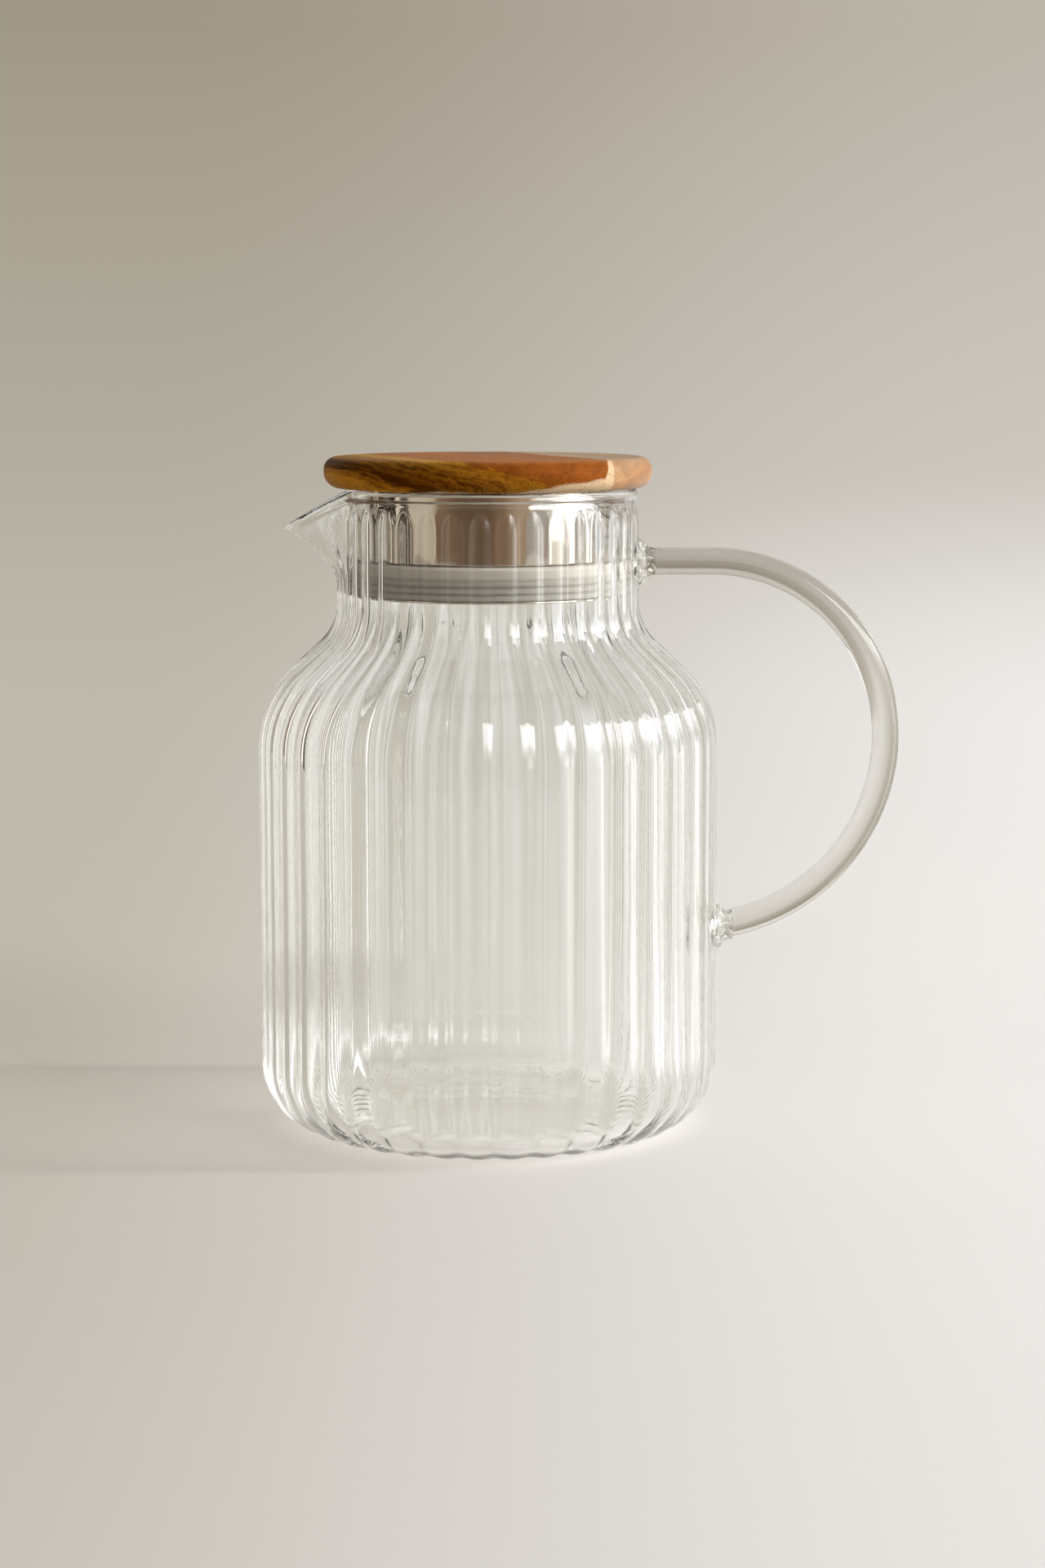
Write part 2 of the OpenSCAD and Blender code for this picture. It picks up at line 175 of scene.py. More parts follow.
def acacia(name, pith, bands, sapwood, sap_rise, end_grain, streak, shine):
    """Oiled acacia, sawn and sanded: growth bands round a pith, streaks along them, short dark pores
    and a soft sheen."""
    material, tree, place = surface(name)
    # Across the glue line, along it and up from the lid's underside. The fibres run along it.
    board = put(tree, "ShaderNodeMapping", [place], vector_type="TEXTURE")
    board.inputs["Rotation"].default_value = (0, 0, glue_turn)
    board.inputs["Location"].default_value = (0, 0, lid_z * MM)
    # Slow bends in the trunk, 14 mm apart
    sway = put(tree, "ShaderNodeMapping", [board], vector_type="POINT")
    sway.inputs["Scale"].default_value = (1, 0.3, 2)
    bend = put(tree, "ShaderNodeTexNoise", {
        "Vector": sway, "Scale": 1 / (14 * MM), "Detail": 4.0, "Roughness": 0.6})
    shift = put(tree, "ShaderNodeVectorMath", [bend.outputs["Color"], (0.5, 0.5, 0.5)], operation="SUBTRACT")
    wander = put(tree, "ShaderNodeVectorMath", {0: shift, "Scale": 4 * MM}, operation="SCALE")
    trunk = put(tree, "ShaderNodeVectorMath", [board, wander], operation="ADD")
    from_pith = put(tree, "ShaderNodeVectorMath", [trunk, [p * MM for p in pith]], operation="SUBTRACT")
    flat = put(tree, "ShaderNodeVectorMath", [from_pith, (1, 0.05, 1)], operation="MULTIPLY")
    distance = put(tree, "ShaderNodeVectorMath", [flat], operation="LENGTH").outputs["Value"]
    # Streaks 0.9 mm apart through the bands, 5 times as long across the board and 50 times along the fibres
    parts = put(tree, "ShaderNodeSeparateXYZ", [trunk])
    streak_at = put(tree, "ShaderNodeCombineXYZ", [distance, parts.outputs["X"], parts.outputs["Y"]])
    long_streak = put(tree, "ShaderNodeVectorMath", [streak_at, (1, 0.2, 0.02)], operation="MULTIPLY")
    fibre = put(tree, "ShaderNodeTexNoise", {
        "Vector": long_streak, "Scale": 1 / (0.9 * MM), "Detail": 4.0, "Roughness": 0.6})
    # Clouds of colour some 5 mm across
    cloud = put(tree, "ShaderNodeTexNoise", {
        "Vector": flat, "Scale": 1 / (5 * MM), "Detail": 5.0, "Roughness": 0.65})
    both = put(tree, "ShaderNodeMath", [fibre, cloud], operation="ADD")
    # Growth bands: a colour at each distance from the pith, in mm. They feather out into the streaks.
    frayed = put(tree, "ShaderNodeMapRange", [both, 0.6, 1.4, -2.2 * MM, 2.2 * MM])
    frayed_at = put(tree, "ShaderNodeMath", [distance, frayed], operation="ADD")
    nearest, farthest = bands[0][0], bands[-1][0]
    depth = put(tree, "ShaderNodeMapRange", [frayed_at, nearest * MM, farthest * MM, 0.0, 1.0])
    colour = put(tree, "ShaderNodeValToRGB", [depth])
    set_stops(colour, [((mm - nearest) / (farthest - nearest), shade) for mm, shade in bands])
    light = put(tree, "ShaderNodeMapRange", [both, 0.7, 1.3, 0.66, 1.26])
    toned = put(tree, "ShaderNodeMix", {0: 0.9, 6: colour, 7: light}, data_type="RGBA", blend_type="MULTIPLY")
    # End grain drinks more oil, and is darker and more golden than the faces
    facing = put(tree, "ShaderNodeTexCoord").outputs["Normal"]
    fibres = (-math.sin(glue_turn), math.cos(glue_turn), 0)
    along = put(tree, "ShaderNodeVectorMath", [facing, fibres], operation="DOT_PRODUCT").outputs["Value"]
    ends = put(tree, "ShaderNodeMath", [along], operation="ABSOLUTE")
    oiled = put(tree, "ShaderNodeMapRange", [ends, 0.15, 0.8, 0.0, 1.0], interpolation_type="SMOOTHSTEP")
    tint = put(tree, "ShaderNodeMix", {0: oiled, 6: linear("#FFFFFF"), 7: linear(end_grain)},
               data_type="RGBA")
    toned = put(tree, "ShaderNodeMix", {0: 1.0, 6: toned.outputs[2], 7: tint.outputs[2]},
                data_type="RGBA", blend_type="MULTIPLY")
    # Paler sapwood lies under the heartwood, thicker towards the glue line and up to the top face beside it
    under = put(tree, "ShaderNodeMapRange", [parts.outputs["X"], -10 * MM, 17 * MM, -0.3 * MM, sap_rise * MM])
    beside = put(tree, "ShaderNodeMapRange", [parts.outputs["X"], 17.8 * MM, 20 * MM, 0.0, 7 * MM],
                 interpolation_type="SMOOTHSTEP")
    edge = put(tree, "ShaderNodeMath", [under, beside], operation="ADD")
    inside = put(tree, "ShaderNodeMath", [edge, parts.outputs["Z"]], operation="SUBTRACT")
    outer = put(tree, "ShaderNodeMapRange", [inside, -0.5 * MM, 0.5 * MM, 0.0, 1.0],
                interpolation_type="SMOOTHSTEP")
    pale = put(tree, "ShaderNodeMix", {0: 0.3, 6: linear(sapwood), 7: light},
               data_type="RGBA", blend_type="MULTIPLY")
    sap = put(tree, "ShaderNodeMix", {0: outer, 6: toned.outputs[2], 7: pale.outputs[2]}, data_type="RGBA")
    # Pores 0.25 mm across and some 3 mm long
    pore_place = put(tree, "ShaderNodeMapping", [board], vector_type="POINT")
    pore_place.inputs["Scale"].default_value = (1, 0.08, 1)
    pore = put(tree, "ShaderNodeTexVoronoi", {"Vector": pore_place, "Scale": 1 / (0.9 * MM)})
    open_pore = put(tree, "ShaderNodeMapRange", [pore.outputs["Distance"], 0.14, 0.26, 0.6, 0.0])
    pored = put(tree, "ShaderNodeMix", {0: open_pore, 6: sap.outputs[2], 7: linear(streak)}, data_type="RGBA")
    relief = put(tree, "ShaderNodeMath", [fibre, open_pore], operation="SUBTRACT")
    normal = put(tree, "ShaderNodeBump", {"Height": relief, "Distance": 0.03 * MM, "Strength": 0.5})
    gloss = put(tree, "ShaderNodeMapRange", [fibre, 0.3, 0.7, 0.34, 0.5])
    shader = put(tree, "ShaderNodeBsdfPrincipled", {
        "Base Color": pored.outputs[2], "Roughness": gloss, "Specular IOR Level": shine, "Normal": normal})
    put(tree, "ShaderNodeOutputMaterial", [shader])
    return material


# The wide board's pith lay high above the glue line, so its bands fall to the right in the front edge
wide_wood = acacia("oiled acacia heartwood", (25, 0, 140), [
    (131, "#9E6434"), (136, "#A26232"), (139.3, "#985C28"), (141, "#AC7A24"), (142.3, "#BE8A36"),
    (143.3, "#7E5016"), (144.4, "#A47428"), (145.4, "#5A3408"), (146.5, "#A06C1A"), (147.7, "#5E3806"),
    (148.7, "#8E5C10"), (149.8, "#5C3204"), (151, "#542C02"), (152, "#98600E"), (153.6, "#BE821E"),
    (155, "#A46A12"), (156.5, "#B8862A"), (158, "#B07C20")],
    "#C2A886", 3.6, "#CEBC90", "#2E1606", 0.02)
# The narrow board is even and orange-tan. Its sapwood would start far below it, so none shows.
narrow_wood = acacia("oiled acacia, even tan", (70, 0, -60), [
    (60, "#A57E56"), (66, "#9C7148"), (70, "#A98058"), (75, "#A0764C"), (80, "#AC875F"), (86, "#A37A50")],
    "#BEA588", -400, "#F8EEE0", "#6A4322", 0.6)


def steel(name, colour, line_mm, low, high):
    """Satin stainless steel: fine turning lines round the axis, which spread a reflection up and down."""
    material, tree, place = surface(name)
    lines = put(tree, "ShaderNodeMapping", [place], vector_type="POINT")
    lines.inputs["Scale"].default_value = (0.02, 0.02, 1)
    grain = put(tree, "ShaderNodeTexNoise", {"Vector": lines, "Scale": 1 / (line_mm * MM), "Detail": 3.0})
    cloud = put(tree, "ShaderNodeTexNoise", {"Vector": place, "Scale": 1 / (11 * MM), "Detail": 2.0})
    both = put(tree, "ShaderNodeMath", [grain, cloud], operation="ADD")
    rough = put(tree, "ShaderNodeMapRange", [both, 0.7, 1.3, low, high])
    normal = put(tree, "ShaderNodeBump", {"Height": grain, "Distance": 0.002 * MM, "Strength": 0.5})
    shader = put(tree, "ShaderNodeBsdfPrincipled", {
        "Base Color": linear(colour), "Metallic": 1.0, "Roughness": rough, "Normal": normal})
    put(tree, "ShaderNodeOutputMaterial", [shader])
    return material


drawn_steel = steel("drawn stainless steel sheet", "#C4BBAF", 0.35, 0.03, 0.075)
screw_steel = steel("turned stainless steel", "#C9C8C6", 0.3, 0.25, 0.4)


def silicone():
    """Moulded food silicone: milky, soft in its highlights and faintly clouded."""
    material, tree, place = surface("moulded translucent silicone")
    cloud = put(tree, "ShaderNodeTexNoise", {"Vector": place, "Scale": 1 / (6 * MM), "Detail": 3.0})
    # Painted shade: the ribbed band is coloured darker than the plain lip above it, for the little light that
    # comes back from between the ribs
    lip_root = (lip_z + gasket_h - top_lip_h) * MM
    height = put(tree, "ShaderNodeSeparateXYZ", [place]).outputs["Z"]
    plain = put(tree, "ShaderNodeMapRange", [height, lip_root - 0.4 * MM, lip_root + 0.2 * MM, 0.0, 1.0])
    cloud_and_rib_shade = put(tree, "ShaderNodeMath", [cloud, 0.4, plain], operation="MULTIPLY_ADD")
    colour = put(tree, "ShaderNodeMix", {0: cloud_and_rib_shade, 6: linear("#959188"), 7: linear("#B6B1A6")},
                 data_type="RGBA")
    fine = put(tree, "ShaderNodeTexNoise", {"Vector": place, "Scale": 1 / (0.4 * MM), "Detail": 2.0})
    normal = put(tree, "ShaderNodeBump", {"Height": fine, "Distance": 0.01 * MM, "Strength": 0.4})
    rough = put(tree, "ShaderNodeMapRange", [cloud, 0.3, 0.7, 0.38, 0.5])
    shader = put(tree, "ShaderNodeBsdfPrincipled", {
        "Base Color": colour.outputs[2], "Roughness": rough, "Normal": normal, "Subsurface Weight": 0.9,
        "Subsurface Radius": (1.0, 1.0, 1.0), "Subsurface Scale": 3 * MM, "IOR": 1.41})
    put(tree, "ShaderNodeOutputMaterial", [shader])
    return material


soft_silicone = silicone()


# Shapes
def new_tree(name, sizes):
    """A Geometry Nodes tree that changes a mesh, with a named input for each size and for the finish."""
    tree = bpy.data.node_groups.new(name, "GeometryNodeTree")
    tree.interface.new_socket("Mesh", in_out="INPUT", socket_type="NodeSocketGeometry")
    for label in sizes:
        kind = "NodeSocketInt" if label.startswith("Number") else "NodeSocketFloat"
        tree.interface.new_socket(label, in_out="INPUT", socket_type=kind)
    tree.interface.new_socket("Finish", in_out="INPUT", socket_type="NodeSocketMaterial")
    tree.interface.new_socket("Mesh", in_out="OUTPUT", socket_type="NodeSocketGeometry")
    return tree, put(tree, "NodeGroupInput").outputs


def close_tree(tree, shape, given, sharp):
    """Smooths the faces, but not the edges that turn by more than this many degrees, and ends the tree."""
    smooth = put(tree, "GeometryNodeSetShadeSmooth", [shape, None, True], domain="FACE")
    edge = put(tree, "GeometryNodeInputMeshEdgeAngle").outputs["Unsigned Angle"]
    turned = put(tree, "FunctionNodeCompare", [edge, math.radians(sharp)],
                 data_type="FLOAT", operation="GREATER_THAN")
    crisp = put(tree, "GeometryNodeSetShadeSmooth", [smooth, turned, False], domain="EDGE")
    real = put(tree, "GeometryNodeRealizeInstances", [crisp])
    done = put(tree, "GeometryNodeSetMaterial", {"Geometry": real, "Material": given["Finish"]})
    put(tree, "NodeGroupOutput", [done])


def turn_outline(tree, given, names):
    """A sheet of points, one column for each step round the axis. Gives the sheet and the tree's sizes by
    name and, for each point, the step and the outline's radius, height and named shares."""
    outline = given["Mesh"]
    rings = put(tree, "GeometryNodeAttributeDomainSize", [outline], component="MESH").outputs["Point Count"]
    columns = put(tree, "ShaderNodeMath", [given["Number of Steps"], 1], operation="ADD")
    sheet = put(tree, "GeometryNodeMeshGrid", {"Vertices X": columns, "Vertices Y": rings})
    index = put(tree, "GeometryNodeInputIndex")
    ring = put(tree, "ShaderNodeMath", [index, rings], operation="MODULO")
    column = put(tree, "ShaderNodeMath", [index, rings], operation="DIVIDE")
    step = put(tree, "ShaderNodeMath", [column], operation="FLOOR")
    where = put(tree, "GeometryNodeSampleIndex", [outline, put(tree, "GeometryNodeInputPosition"), ring],
                data_type="FLOAT_VECTOR")
    place = put(tree, "ShaderNodeSeparateXYZ", [where])
    found = {s.name: s for s in given if s.name}
    found.update(radius=place.outputs["X"], height=place.outputs["Z"], step=step.outputs[0])
    for name in names:
        share = put(tree, "GeometryNodeInputNamedAttribute", {"Name": name}, data_type="FLOAT")
        sampled = put(tree, "GeometryNodeSampleIndex", [outline, share, ring], data_type="FLOAT")
        found[name] = sampled.outputs[0]
    return sheet.outputs["Mesh"], found


def lay_sheet(tree, sheet, angle, radius, height):
    """Puts each point of the sheet at its angle, radius and height, and closes the seam and the poles."""
    across = []
    for operation in ("COSINE", "SINE"):
        share = put(tree, "ShaderNodeMath", [angle], operation=operation)
        across.append(put(tree, "ShaderNodeMath", [radius, share], operation="MULTIPLY"))
    place = put(tree, "ShaderNodeCombineXYZ", [*across, height])
    laid = put(tree, "GeometryNodeSetPosition", {"Geometry": sheet, "Position": place})
    return put(tree, "GeometryNodeMergeByDistance", {"Geometry": laid, "Distance": 0.005 * MM})


def fluted_tree():
    """Turns an outline, presses in flutes that end in arches, draws out a spout and ripples the inside."""
    tree, given = new_tree("fluted glass", [
        "Number of Steps", "Number of Flutes", "Flute Depth", "Flute Turn", "Full Radius", "Arch Foot",
        "Arch Height", "Spout Foot", "Spout Height", "Spout Reach", "Spout Dip", "Spout Half Angle",
        "Tip Round", "Side Share", "Height Share", "Ripple Scale", "Ripple Depth", "Valley Round"])
    sheet, at = turn_outline(tree, given, ["lean", "groove", "ripple"])
    # Each line is: result, operation, and the values that it works on
    for name, operation, *terms in [
            ("steps", "DIVIDE", "step", "Number of Steps"),
            ("round", "MULTIPLY", "steps", math.tau),
            ("angle", "ADD", "round", "Flute Turn"),
            ("turns", "MULTIPLY", "steps", "Number of Flutes"),
            ("nearest", "ROUND", "turns"),
            ("off", "SUBTRACT", "turns", "nearest"),
            ("both", "MULTIPLY", "off", 2.0),
            ("u", "ABSOLUTE", "both"),
            ("crest", "SUBTRACT", 1.0, "Valley Round"),
            ("flank", "MINIMUM", "u", "crest"),
            ("flank2", "MULTIPLY", "flank", "flank"),
            ("past", "SUBTRACT", "u", "flank"),
            ("wide", "MULTIPLY", "Valley Round", 2.0),
            ("eased", "DIVIDE", "past", "wide"),
            ("slope", "SUBTRACT", 1.0, "eased"),
            ("ease", "MULTIPLY", "past", "slope"),
            ("ease_in", "MULTIPLY", "ease", "crest"),
            ("ease_on", "MULTIPLY", "ease_in", 2.0),
            ("bowl", "ADD", "flank2", "ease_on"),
            ("u2", "DIVIDE", "bowl", "crest"),
            ("over", "SUBTRACT", "height", "Arch Foot"),
            ("arch", "DIVIDE", "over", "Arch Height"),
            ("v0", "MAXIMUM", "arch", 0.0),
            ("v", "MINIMUM", "v0", 1.0),
            ("v2", "MULTIPLY", "v", "v"),
            ("uv", "ADD", "u2", "v2"),
            ("valley", "MINIMUM", "uv", 1.0),
            ("degrees", "DEGREES", "angle"),
            ("aside", "SUBTRACT", "degrees", 180.0),
            ("aside2", "MULTIPLY", "aside", "aside"),
            ("tip2", "MULTIPLY", "Tip Round", "Tip Round"),
            ("near", "ADD", "aside2", "tip2"),
            ("root", "SQRT", "near"),
            ("tip", "SUBTRACT", "root", "Tip Round"),
            ("half2", "MULTIPLY", "Spout Half Angle", "Spout Half Angle"),
            ("far", "ADD", "half2", "tip2"),
            ("far_root", "SQRT", "far"),
            ("edge", "SUBTRACT", "far_root", "Tip Round"),
            ("share", "DIVIDE", "tip", "edge"),
            ("left", "SUBTRACT", 1.0, "share"),
            ("inside", "MAXIMUM", "left", 0.0),
            ("side", "POWER", "inside", "Side Share"),
            ("up", "SUBTRACT", "height", "Spout Foot"),
            ("rise", "DIVIDE", "up", "Spout Height"),
            ("risen", "MAXIMUM", "rise", 0.0),
            ("lift", "POWER", "risen", "Height Share"),
            ("pull", "MULTIPLY", "side", "lift"),
            ("kept", "SUBTRACT", 1.0, "pull"),
            ("scale", "DIVIDE", "radius", "Full Radius"),
            ("deep", "MULTIPLY", "scale", "Flute Depth"),
            ("grooved", "MULTIPLY", "deep", "groove"),
            ("pressed", "MULTIPLY", "grooved", "valley"),
            ("depth", "MULTIPLY", "pressed", "kept"),
            ("cos", "COSINE", "lean"),
            ("sin", "SINE", "lean"),
            ("in", "MULTIPLY", "depth", "cos"),
            ("down", "MULTIPLY", "depth", "sin"),
            ("out", "MULTIPLY", "pull", "Spout Reach"),
            ("dip", "MULTIPLY", "pull", "Spout Dip"),
            ("r1", "SUBTRACT", "radius", "in"),
            ("r2", "ADD", "r1", "out"),
            ("z1", "SUBTRACT", "height", "down"),
            ("z2", "SUBTRACT", "z1", "dip")]:
        at[name] = put(tree, "ShaderNodeMath", [at.get(t, t) if isinstance(t, str) else t for t in terms],
                       operation=operation).outputs[0]
    turned = put(tree, "ShaderNodeVectorRotate", {"Vector": (1.0, 0.0, 0.0), "Angle": at["angle"]},
                 rotation_type="Z_AXIS")
    reach = put(tree, "ShaderNodeVectorMath", {0: turned, "Scale": at["radius"]}, operation="SCALE")
    up = put(tree, "ShaderNodeCombineXYZ", [0.0, 0.0, at["height"]])
    before = put(tree, "ShaderNodeVectorMath", [reach, up], operation="ADD")
    noise = put(tree, "ShaderNodeTexNoise", {"Vector": before, "Scale": given["Ripple Scale"], "Detail": 1.0})
    wave = put(tree, "ShaderNodeMath", [noise, 0.5], operation="SUBTRACT")
    deep = put(tree, "ShaderNodeMath", [wave, given["Ripple Depth"]], operation="MULTIPLY")
    where = put(tree, "ShaderNodeMath", [deep, at["ripple"]], operation="MULTIPLY")
    rippled = put(tree, "ShaderNodeMath", [at["r2"], where], operation="ADD")
    close_tree(tree, lay_sheet(tree, sheet, at["angle"], rippled, at["z2"]), given, 50)
    return tree


def shaped(name, mesh, tree, sizes, finish):
    """Runs a tree on a mesh with these sizes and keeps the result as a plain object."""
    piece = bpy.data.objects.new(name, mesh)
    scene.collection.objects.link(piece)
    change = piece.modifiers.new("shape", "NODES")
    change.node_group = tree
    sockets = {s.name: s.identifier for s in tree.interface.items_tree if s.in_out == "INPUT"}
    for label, value in sizes.items():
        change[sockets[label]] = value
    change[sockets["Finish"]] = finish
    evaluated = piece.evaluated_get(bpy.context.evaluated_depsgraph_get())
    piece.data = bpy.data.meshes.new_from_object(evaluated)
    piece.modifiers.clear()
    piece.data.name = name
    return piece


def belongs(piece, node, body):
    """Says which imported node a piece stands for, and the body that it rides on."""
    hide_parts(node)
    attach(piece, body)


def line_mesh(name, places):
    """A mesh of one line through these (x, z) places, in mm."""
    mesh = bpy.data.meshes.new(name)
    edges = [(i, i + 1) for i in range(len(places) - 1)]
    mesh.from_pydata([(x * MM, 0, z * MM) for x, z in places], edges, [])
    return mesh


def outline_mesh(name, points):
    """A line of points (radius, height, lean, groove, ripple) in mm. The last three are its attributes."""
    mesh = line_mesh(name, [p[:2] for p in points])
    for at, share in enumerate(["lean", "groove", "ripple"], 2):
        kept = mesh.attributes.new(share, "FLOAT", "POINT")
        kept.data.foreach_set("value", [p[at] for p in points])
    return mesh


def between(a, b, steps):
    """Evenly spaced values from a to b, without b."""
    return [a + (b - a) * i / steps for i in range(steps)]



def corner(t, floor, steps):
    """The bend from foot to wall, this far inside the outer face, as (radius, height, lean) points."""
    w, h = corner_w - t, corner_h - floor
    return [(body_r - corner_w + w * math.cos(a), corner_h + h * math.sin(a),
             math.atan2(math.sin(a) / h, math.cos(a) / w)) for a in between(-math.pi / 2, 0, steps)]


def shoulder(t, steps):
    """The bend from wall to shoulder, this far inside the outer face."""
    return [(body_r - shoulder_r + (shoulder_r - t) * math.cos(a), wall_h + (shoulder_r - t) * math.sin(a), a)
            for a in between(0, shoulder_slope, steps)]


def neck_curve(t, steps):
    """The bend from shoulder to neck, this far inside the outer face."""
    return [(neck_r + neck_curve_r - (neck_curve_r + t) * math.cos(a),
             neck_z - (neck_curve_r + t) * math.sin(a), a) for a in between(shoulder_slope, 0, steps) + [0]]


def glass_outline():
    """The glass in section: foot, corner, wall, shoulder, neck and rim outside, then the same inside."""
    foot_r = body_r - corner_w - foot_fade_w
    down = -math.pi / 2
    corner_steps, bend_steps, rim_steps = 28, 12, 12
    # The middle of the foot is pushed up, so the pitcher stands on a ring
    line = [(r, push_up / 2 * (1 + math.cos(math.pi * r / foot_r)), down, 0, 0)
            for r in between(0, foot_r, 8) + [foot_r]]
    line += [(foot_r + foot_fade_w * s, 0, down, foot_share * s, 0) for s in (0.2, 0.4, 0.6, 0.8)]
    line += [(*p, foot_share + (1 - foot_share) * i / corner_steps, 0)
             for i, p in enumerate(corner(0, 0, corner_steps))]
    line += [(body_r, z, 0, 1, 0) for z in between(corner_h, wall_h, 8)]
    line += [(r, z, a, 1, 0) for r, z, a in shoulder(0, bend_steps) + neck_curve(0, bend_steps)]
    top = rim_z - plain_band_h
    line += [(neck_r, z, 0, 1, 0) for z in between(neck_z, top - flute_arch_h, 7)[1:]]
    line += [(neck_r, z, 0, 1, 0) for z in between(top - flute_arch_h, top, 8)]
    line += [(neck_r, top, 0, 1, 0), (neck_r, (top + rim_z - bead_h) / 2, 0, 1, 0)]
    # The bead is pressed in as the plain band is, so it keeps its place on the wall along the spout
    mid, half = (band_r + bead_out + bore_r) / 2, (band_r + bead_out - bore_r) / 2
    for i in range(-3, rim_steps + 1):
        a = math.pi * i / rim_steps
        line.append((mid + neck_r - band_r + half * math.cos(a),
                     rim_z - bead_h / 2 + bead_h / 2 * math.sin(a), 0, 1, 0))
    # The inner wall follows the flutes a little less deeply. In the neck it swells out with them.
    swell = inner_share * (neck_r - band_r)
    heights = between(top, top - flute_arch_h, 8) + between(top - flute_arch_h, neck_z, 7)
    line += [(bore_r + swell, z, 0, inner_share, 1) for z in heights]
    inside = [(*p, inner_share * (i / corner_steps) ** 1.5)
              for i, p in enumerate(corner(wall_t, floor_t, corner_steps))]
    inside += [(body_r - wall_t, z, 0, inner_share) for z in between(corner_h, wall_h, 14)]
    inside += [(*p, inner_share) for p in shoulder(wall_t, bend_steps)]
    bend = zip(neck_curve(wall_t, bend_steps), neck_curve(wall_t - swell, bend_steps))
    for i, (plain, thin) in enumerate(bend):
        inside.append((*[a + (b - a) * i / bend_steps for a, b in zip(plain, thin)], inner_share))
    line += [(r, z, a, share, 1) for r, z, a, share in reversed(inside)]
    line += [(r, floor_t, down, 0, 0) for r in between(body_r - corner_w - 1, 0, 8) + [0]]
    return line


fluted = fluted_tree()
glass_sizes = {
    "Number of Steps": flutes * flute_steps, "Number of Flutes": flutes, "Flute Depth": flute_depth * MM,
    "Flute Turn": flute_turn, "Full Radius": body_r * MM, "Valley Round": valley_round,
    "Arch Foot": (rim_z - plain_band_h - flute_arch_h) * MM, "Arch Height": flute_arch_h * MM,
    "Spout Foot": (rim_z - spout_h) * MM, "Spout Height": spout_h * MM, "Spout Reach": spout_reach * MM,
    "Spout Dip": spout_dip * MM, "Spout Half Angle": spout_half_angle, "Tip Round": tip_round,
    "Side Share": side_share, "Height Share": height_share, "Ripple Scale": 1 / (wave_w * MM),
    "Ripple Depth": wave_depth * MM}
pitcher = shaped("fluted_glass", outline_mesh("glass outline", glass_outline()), fluted, glass_sizes,
                 blown_glass)
belongs(pitcher, "glass_body", "pitcher")


def swept_tree():
    """Sweeps a round rod along a line and closes its ends."""
    tree, given = new_tree("swept rod", ["Number of Steps", "Rod Radius"])
    line = put(tree, "GeometryNodeMeshToCurve", [given["Mesh"]])
    ring = put(tree, "GeometryNodeCurvePrimitiveCircle",
               {"Resolution": given["Number of Steps"], "Radius": given["Rod Radius"]}, mode="RADIUS")
    rod = put(tree, "GeometryNodeCurveToMesh", {"Curve": line, "Profile Curve": ring, "Fill Caps": True})
    close_tree(tree, rod, given, 50)
    return tree


def rod_line():
    """The handle's centre line: a straight run, a quarter turn and the lower curve back to the wall."""
    upper_r = handle_top_z - handle_mid_z
    upper_x, lower_x = rod_x - upper_r, rod_x - lower_curve_r
    end = math.acos((body_r + rod_inset - lower_x) / lower_curve_r)
    points = [(x, handle_top_z) for x in between(neck_r + rod_inset, upper_x, 6)]
    points += [(upper_x + upper_r * math.cos(a), handle_mid_z + upper_r * math.sin(a))
               for a in between(math.pi / 2, 0, 48)]
    points += [(lower_x + lower_curve_r * math.cos(a), handle_mid_z + lower_curve_r * math.sin(a))
               for a in between(0, -end, 40) + [-end]]
    return line_mesh("handle line", points)


rod = shaped("glass_rod", rod_line(), swept_tree(), {
    "Number of Steps": rod_steps, "Rod Radius": rod_r * MM}, rod_glass)
belongs(rod, "handle_rod", "pitcher")


def weld_outline():
    """The pinched glass in section along its own axis, wide at the wall and drawn in to the rod."""
    line = [(0, -weld_bite, 0, 0, 0), (weld_r * 0.6, -weld_bite, 0, 0.6, 0.3)]
    line += [(weld_r + crimp_depth / 2, z, 0, 1, 0.6) for z in (-weld_bite, -0.3)]
    taper_steps = 18
    for i in range(taper_steps + 1):
        left = 1 - i / taper_steps
        r = rod_r + (weld_r - rod_r) * left * left + crimp_depth * left / 2
        line.append((r, weld_len * (1 - left), 0, left, left))
    line += [(rod_r * 0.6, weld_len, 0, 0, 0), (0, weld_len, 0, 0, 0)]
    return line


# The pitcher's tree also presses in the crimps. Its arches and spout would start 1 m up, so none show.
weld_sizes = {
    **glass_sizes, "Number of Steps": crimps * flute_steps, "Number of Flutes": crimps,
    "Flute Depth": crimp_depth * 1.3 * MM, "Flute Turn": 0.0, "Full Radius": weld_r * MM,
    "Arch Foot": 1.0, "Spout Foot": 1.0, "Spout Reach": 0.0, "Spout Dip": 0.0,
    "Ripple Scale": 1 / (pinch_w * MM), "Ripple Depth": pinch_depth * MM}
lower_x = rod_x - lower_curve_r
lower_z = handle_mid_z - lower_curve_r * math.sin(math.acos((body_r - lower_x) / lower_curve_r))
for name, node, x, z in [("upper_joint", "handle_weld_upper", neck_r, handle_top_z),
                         ("lower_joint", "handle_weld_lower", body_r, lower_z)]:
    joint = shaped(name, outline_mesh(name, weld_outline()), fluted, weld_sizes, worked_glass)
    joint.data.transform(Matrix.Translation((x * MM, 0, z * MM)) @ Matrix.Rotation(math.pi / 2, 4, "Y"))
    belongs(joint, node, "pitcher")


def softened(points, radius, steps=5):
    """A line of (radius, height) points with each corner rounded."""
    line = [points[0]]
    for a, b, c in zip(points, points[1:], points[2:]):
        a, b, c = Vector(a), Vector(b), Vector(c)
        near = min(radius, (b - a).length * 0.45, (c - b).length * 0.45)
        start, end = b + (a - b).normalized() * near, b + (c - b).normalized() * near
        line += [tuple(start.lerp(b, t).lerp(b.lerp(end, t), t)) for t in between(0, 1, steps) + [1]]
    return line + [points[-1]]


